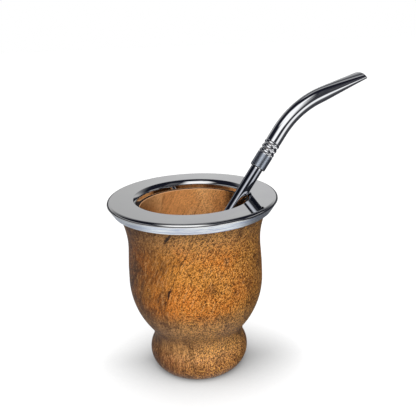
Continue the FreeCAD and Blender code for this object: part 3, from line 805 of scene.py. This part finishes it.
def make_wood():
    """Turned hardwood: leaning streaks, dark pores, a knot and a crack, paler on the inside."""
    wood = Wood()
    colour = wood.grained(wood.mix(wood.inside, wood.outer_colour(), wood.inner_colour()))
    pores = wood.pores()
    marks = wood.marks()
    colour = wood.mix(wood.times(pores, PORE_SHARE), colour, DARK)
    colour = wood.edged(wood.mix(wood.times(marks, MARK_SHARE), colour, DARK))
    hills = wood.plus(wood.times(wood.fine, 0.4), wood.times(wood.mottle, 0.5))
    wood.bump(wood.minus(hills, wood.most(wood.times(pores, PORE_DEPTH), marks)), 0.6, 0.15)
    return wood.finish(colour, wood.ease(wood.mottle, *WOOD_ROUGHNESS))


# Colours of the metals
STEEL = (0.82, 0.82, 0.83, 1)
STEEL_BRIGHT = (0.85, 0.86, 0.85, 1)
# Painted shade: the rim's top darker towards its left
STEEL_SHADED_LEFT = (0.66, 0.66, 0.65, 1)
BRUSHED_DIM = (0.50, 0.58, 0.76, 1)
BRUSHED_BRIGHT = (0.93, 0.99, 1.0, 1)
CHROME = (0.84, 0.85, 0.87, 1)
CHROME_BRIGHT = (0.88, 0.89, 0.91, 1)
CHROME_BELOW_COLLAR = (0.46, 0.48, 0.53, 1)
SATIN = (0.50, 0.55, 0.63, 1)
# Colour of the painted shade on the collar's lower edge
COLLAR_EDGE_SHADE = (0.01, 0.01, 0.01, 1)

# Wear of the metals, painted shade on the rim's left and the collar's lower edge, with eases as for the
# wood and noises in bumps per millimetre
METAL_BY_CLOUD = (0.35, 0.65)
STEEL_SHADE_BY_SIDE = (0.0, -RIM_RADIUS, 0.0, 0.8)
STEEL_CLOUD = (0.08, 3.0)
STEEL_ROUGHNESS = (0.3, 0.7, 0.03, 0.05)
SKIRT_FROM = (37.0, 38.0)
SKIRT_BELOW = (0.5, 0.1)
HOOP_STRETCH = (2.0, 1.5)
BRUSH = (1.4, 5.0, 0.75)
BRUSH_BRIGHT = (0.38, 0.60)
BRUSH_ROUGHNESS = (0.3, 0.7, 0.42, 0.30)
CHROME_CLOUD = (0.12, 3.0)
CHROME_ROUGHNESS = (0.3, 0.7, 0.03, 0.06)
SCRATCH_STRETCH = (1.0, 1.0, 0.12)
SCRATCH = (2.5, 4.0, 0.7)
SCRATCH_ROUGHNESS = (0.55, 0.75, 0.0, 0.06)
STAIN_SOFT = 1.0
SATIN_TOP = BAND_START - 0.3
SATIN_SOFT = 0.05
SATIN_ROUGHNESS = 0.32
# Painted shade on the collar's lower edge: heights where it fades out, and its roughness
COLLAR_SHADE_HEIGHTS = (0.2, 0.4)
COLLAR_SHADE_ROUGHNESS = 0.6


def make_rim_metal():
    """Steel with a polished top and lip, painted shade towards the top's left, and a skirt brushed round
    the cup.
    """
    paint = Paint("rim_metal", Metallic=1.0)
    radius = paint.axis_distance()
    edge = CUP_HEIGHT - RIM_EDGE_ROUND
    low = paint.ease(paint.z, *(edge - drop for drop in SKIRT_BELOW), 1.0, 0.0)
    skirt = paint.times(low, paint.ease(radius, *SKIRT_FROM))
    turn = paint.math("ARCTAN2", paint.y, paint.x)
    around, upward = HOOP_STRETCH
    hoop = paint.joined(paint.times(turn, around), radius, paint.times(paint.z, upward))
    brush = paint.noise(hoop, *BRUSH)
    cloud = paint.noise(paint.point, *STEEL_CLOUD)
    top = paint.mix(paint.ease(cloud, *METAL_BY_CLOUD), STEEL, STEEL_BRIGHT)
    # Painted shade: the top darker towards the left
    top = paint.mix(paint.ease(paint.x, *STEEL_SHADE_BY_SIDE), top, STEEL_SHADED_LEFT)
    side = paint.mix(paint.ease(brush, *BRUSH_BRIGHT), BRUSHED_DIM, BRUSHED_BRIGHT)
    plain = paint.ease(cloud, *STEEL_ROUGHNESS)
    satin = paint.ease(brush, *BRUSH_ROUGHNESS)
    paint.bump(paint.plus(paint.times(brush, skirt, 0.5), paint.times(cloud, 0.15)), 0.25, 0.08)
    return paint.finish(paint.mix(skirt, top, side), paint.blend(skirt, plain, satin))


def make_straw_metal(name, place, satin_top):
    """Polished chrome with faint wear, darker on the stem below the collar.

    The collar's sleeve is left dull up to satin_top, with painted shade on its lower edge. The tubes have
    no sleeve, and get 0 there.
    """
    paint = Paint(name, Metallic=1.0)
    inputs = {"Vector": paint.object_point, "Location": place.translation, "Rotation": place.to_euler()}
    straw_point = paint.node("Mapping", inputs, vector_type="TEXTURE").outputs[0]
    local = paint.vector("SCALE", straw_point, Scale=1 / MM)
    up = paint.parted(local)[2]
    cloud = paint.noise(local, *CHROME_CLOUD)
    scratch = paint.noise(paint.vector("MULTIPLY", local, SCRATCH_STRETCH), *SCRATCH)
    colour = paint.mix(paint.ease(cloud, *METAL_BY_CLOUD), CHROME, CHROME_BRIGHT)
    below_collar = paint.ease(up, collar_base - STAIN_SOFT, collar_base, 1.0, 0.0)
    colour = paint.mix(below_collar, colour, CHROME_BELOW_COLLAR)
    rough = paint.plus(paint.ease(cloud, *CHROME_ROUGHNESS), paint.ease(scratch, *SCRATCH_ROUGHNESS))
    if satin_top:
        dull = paint.span(up, collar_base + COLLAR_LIP_ROUND, collar_base + satin_top, SATIN_SOFT)
        # Painted shade darkens the collar's lower edge
        edge_shade = paint.ease(up, *(collar_base + height for height in COLLAR_SHADE_HEIGHTS), 1.0, 0.0)
        colour = paint.mix(edge_shade, paint.mix(dull, colour, SATIN), COLLAR_EDGE_SHADE)
        rough = paint.blend(edge_shade, paint.blend(dull, rough, SATIN_ROUGHNESS), COLLAR_SHADE_ROUGHNESS)
    paint.bump(paint.plus(cloud, paint.times(scratch, 0.1)), 0.15, 0.1)
    return paint.finish(colour, rough)


# What the metal mirrors, as soft boxes of light: azimuth of the middle, half width, softness,
# lowest and highest elevation, softness, level. Azimuth 0 is behind the cup, 90 to its right.
BOXES = [
    (190, 14, 32, 20, 42, 10, 1.15),
    (203, 24, 26, 47, 58, 14, 1.15),
    (192, 20, 26, 54, 67, 6, 1.00),
    (-2, 26, 44, 14, 14, 26, 0.57),
    (-2, 24, 44, 20, 22, 36, 0.30),
    (-92, 28, 16, 13, 20, 4, 0.42),
    (92, 10, 12, 13, 20, 4, 0.42),
    (0, 26, 16, 58, 72, 5, 0.34),
    (-2, 26, 44, -90, -2, 4, 0.16),
    (0, 180, 1, 10, 20, 4, 0.06),
    (134, 9, 13, -24, -5, 8, 1.00),
    (118, 10, 12, -60, -24, 8, 0.12),
    (128, 14, 9, 30, 58, 8, 0.10),
    (-110, 90, 25, -90, -12, 8, 0.45),
    (170, 20, 20, -90, -27, 8, 0.25),
    (0, 180, 1, -90, -58, 10, 0.92),
    (60, 60, 20, -60, -15, 8, 0.05),
]
DARK_LEVEL = 0.010                # level between the boxes
DARK_TINT = (1.0, 1.1, 1.9)
LOWER_FADE = 4.0                  # most that a box fades at its lower side
STUDIO_REACH = 3000.0
ROOM_CENTRE = 100.0
ROOM_ROWS = 121
ROOM_COLUMNS = 240


def eased(value):
    value = np.clip(value, 0.0, 1.0)
    return value * value * (3 - 2 * value)


def room_light(azimuth, elevation):
    """Level of the room in a direction: the brightest of its soft boxes."""
    level = np.full(azimuth.shape, DARK_LEVEL)
    for middle, half, soft, low, high, fade, strength in BOXES:
        away = np.abs((azimuth - middle + 180) % 360 - 180)
        below = min(fade, LOWER_FADE)
        across = eased((half + soft - away) / soft)
        upward = eased((elevation - low + below) / below) * eased((high + fade - elevation) / fade)
        level = np.maximum(level, strength * across * upward)
    return level


def direction(azimuth, elevation):
    """Unit vector towards an azimuth and elevation, both in degrees or as arrays of them."""
    a, e = np.radians(azimuth), np.radians(elevation)
    return np.stack([np.cos(e) * np.sin(a), np.cos(e) * np.cos(a), np.sin(e)], -1)


def bare_material(name):
    """A new material without nodes, and the graph to fill it."""
    material = bpy.data.materials.new(name)
    graph = Graph(material)
    graph.tree.nodes.clear()
    return material, graph


def make_room():
    """Dome seen by the metal alone, which gives it softboxes and dark flags to mirror."""
    elevation, azimuth = np.meshgrid(np.linspace(-90, 90, ROOM_ROWS),
                                     np.arange(ROOM_COLUMNS) * 360 / ROOM_COLUMNS - 180, indexing="ij")
    points = STUDIO_REACH * direction(azimuth, elevation)
    faces = []
    for i in range(ROOM_ROWS - 1):
        for j in range(ROOM_COLUMNS):
            low = i * ROOM_COLUMNS + j
            low_next = i * ROOM_COLUMNS + (j + 1) % ROOM_COLUMNS
            faces.append([low, low_next, low_next + ROOM_COLUMNS, low + ROOM_COLUMNS])
    mesh = new_mesh("room", points.reshape(-1, 3), faces)
    level = room_light(azimuth, elevation).ravel()[:, None]
    shade = level + DARK_LEVEL * (np.array(DARK_TINT) - 1)
    colours = mesh.color_attributes.new("level", "FLOAT_COLOR", "POINT")
    colours.data.foreach_set("color", np.append(shade, np.ones_like(level), 1).ravel())
    material, graph = bare_material("room")
    read = graph.node("Attribute", attribute_name="level")
    glow = graph.node("Emission", {"Color": read.outputs["Color"]})
    graph.node("OutputMaterial", {"Surface": glow.outputs[0]})
    mesh.materials.append(material)
    room = add_object("room", mesh)
    room.location = (0, 0, ROOM_CENTRE * MM)
    for kind in ("camera", "diffuse", "transmission", "volume_scatter", "shadow"):
        setattr(room, "visible_" + kind, False)


WHITE = (1, 1, 1, 1)
FILL = 0.11                       # light from all round on the object
FLOOR_LIT = 0.22                  # the floor's colour under the lamps
FLOOR_GLOW = 0.90                 # what the camera sees on top of it
CONTACT_REACH = 44.0
CONTACT_LEANS = [(-0.10, -0.75, 0.65), (-0.10, 0.75, 0.65)]
CONTACT_POWER = 3.2
CONTACT_SAMPLES = 24


def make_floor():
    """White floor: part lit colour, which keeps the shadow, and part plain white to the camera.

    The near shadow of the foot is found by rays that lean to the front and to the back, where the
    studio is open, so it's longest at the sides.
    """
    corners = [(x * STUDIO_REACH, y * STUDIO_REACH, 0) for x, y in ((-1, -1), (1, -1), (1, 1), (-1, 1))]
    mesh = new_mesh("floor", corners, [(0, 1, 2, 3)])
    material, graph = bare_material("floor")
    nears = []
    for lean in CONTACT_LEANS:
        inputs = {"Distance": CONTACT_REACH * MM,
                  "Normal": graph.node("CombineXYZ", dict(enumerate(lean))).outputs[0]}
        nears.append(graph.node("AmbientOcclusion", inputs, samples=CONTACT_SAMPLES).outputs["AO"])
    shade = graph.times(graph.math("POWER", graph.most(*nears), CONTACT_POWER), FLOOR_GLOW)
    strength = graph.times(shade, graph.node("LightPath").outputs["Is Camera Ray"])
    lit = graph.node("BsdfDiffuse", {"Color": (FLOOR_LIT, FLOOR_LIT, FLOOR_LIT, 1)})
    glow = graph.node("Emission", {"Strength": strength})
    both = graph.node("AddShader", {0: lit.outputs[0], 1: glow.outputs[0]})
    graph.node("OutputMaterial", {"Surface": both.outputs[0]})
    mesh.materials.append(material)
    floor = add_object("floor", mesh)
    floor.visible_glossy = False
    floor.visible_diffuse = False


def make_world():
    """White for camera, mirrored and transmitted rays, and a softer plain fill on the object."""
    world = bpy.data.worlds.new("studio")
    bpy.context.scene.world = world
    graph = Graph(world)
    graph.tree.nodes.clear()
    rays = graph.node("LightPath").outputs
    seen = graph.most(rays["Is Camera Ray"], rays["Is Glossy Ray"], rays["Is Transmission Ray"])
    fill = graph.node("Background", {"Color": WHITE, "Strength": FILL})
    white = graph.node("Background", {"Color": WHITE})
    mix = graph.node("MixShader", {0: seen, 1: fill.outputs[0], 2: white.outputs[0]})
    graph.node("OutputWorld", {"Surface": mix.outputs[0]})


# Lamps: name, azimuth and elevation, width of the source in degrees, and power
LAMPS = [
    ("key", 173, 33, 45, 2.6),
    ("top", 180, 62, 140, 0.75),
    ("back", 8, 38, 70, 1.3),
]


def make_lamp(name, azimuth, elevation, spread, power):
    """Soft distant lamp, which the metal doesn't mirror because the room has its softboxes."""
    data = bpy.data.lights.new(name, "SUN")
    data.angle = math.radians(spread)
    data.energy = power
    lamp = add_object(name, data)
    lamp.rotation_euler = Vector(direction(azimuth, elevation)).to_track_quat("Z", "Y").to_euler()
    lamp.visible_glossy = False
    lamp.visible_camera = False


# The photograph's camera, worked out from the outlines of the rim and the cup
CAMERA_PLACE = (0.0, -289.130, 187.088)
CAMERA_RIGHT = (0.99853629, -0.03971768, -0.03671208)
CAMERA_DOWN = (-0.04749908, -0.31933986, -0.9464491)
CAMERA_AHEAD = (0.02586713, 0.94680756, -0.32075899)
CAMERA_SENSOR = 36.0
CAMERA_LENS = 50.625
CAMERA_CLIP = (10.0, 20000.0)


def make_camera():
    data = bpy.data.cameras.new("camera")
    data.sensor_width = CAMERA_SENSOR
    data.lens = CAMERA_LENS
    data.clip_start = CAMERA_CLIP[0] * MM
    data.clip_end = CAMERA_CLIP[1] * MM
    camera = add_object("camera", data)
    turn = Matrix((Vector(CAMERA_RIGHT), -Vector(CAMERA_DOWN), -Vector(CAMERA_AHEAD))).transposed().to_4x4()
    camera.matrix_world = Matrix.Translation(Vector(CAMERA_PLACE) * MM) @ turn
    bpy.context.scene.camera = camera


place = straw_place()
wood = make_wood()
rim_metal = make_rim_metal()
chrome = make_straw_metal("straw_metal", place, 0)
collar_metal = make_straw_metal("collar_metal", place, SATIN_TOP)
dress(lathe("cup", cup_outline(), AROUND_CUP, closed=False), wood, "cup_body")
dress(lathe("rim", rim_outline(), AROUND_CUP), rim_metal, "rim_ring")
dress(lathe("stem", stem_outline(), AROUND_STRAW, place=place), chrome, "lower_tube")
dress(lathe("collar", collar_outline(), AROUND_STRAW, place=place), collar_metal,
      "joint_collar")
dress(make_tube(place), chrome, "mouthpiece_tube")
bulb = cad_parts["filter_bulb"]
bulb.data.materials.clear()
bulb.data.materials.append(chrome)

make_camera()
make_world()
make_room()
make_floor()
for lamp in LAMPS:
    make_lamp(*lamp)
bpy.context.scene.view_settings.view_transform = "Standard"
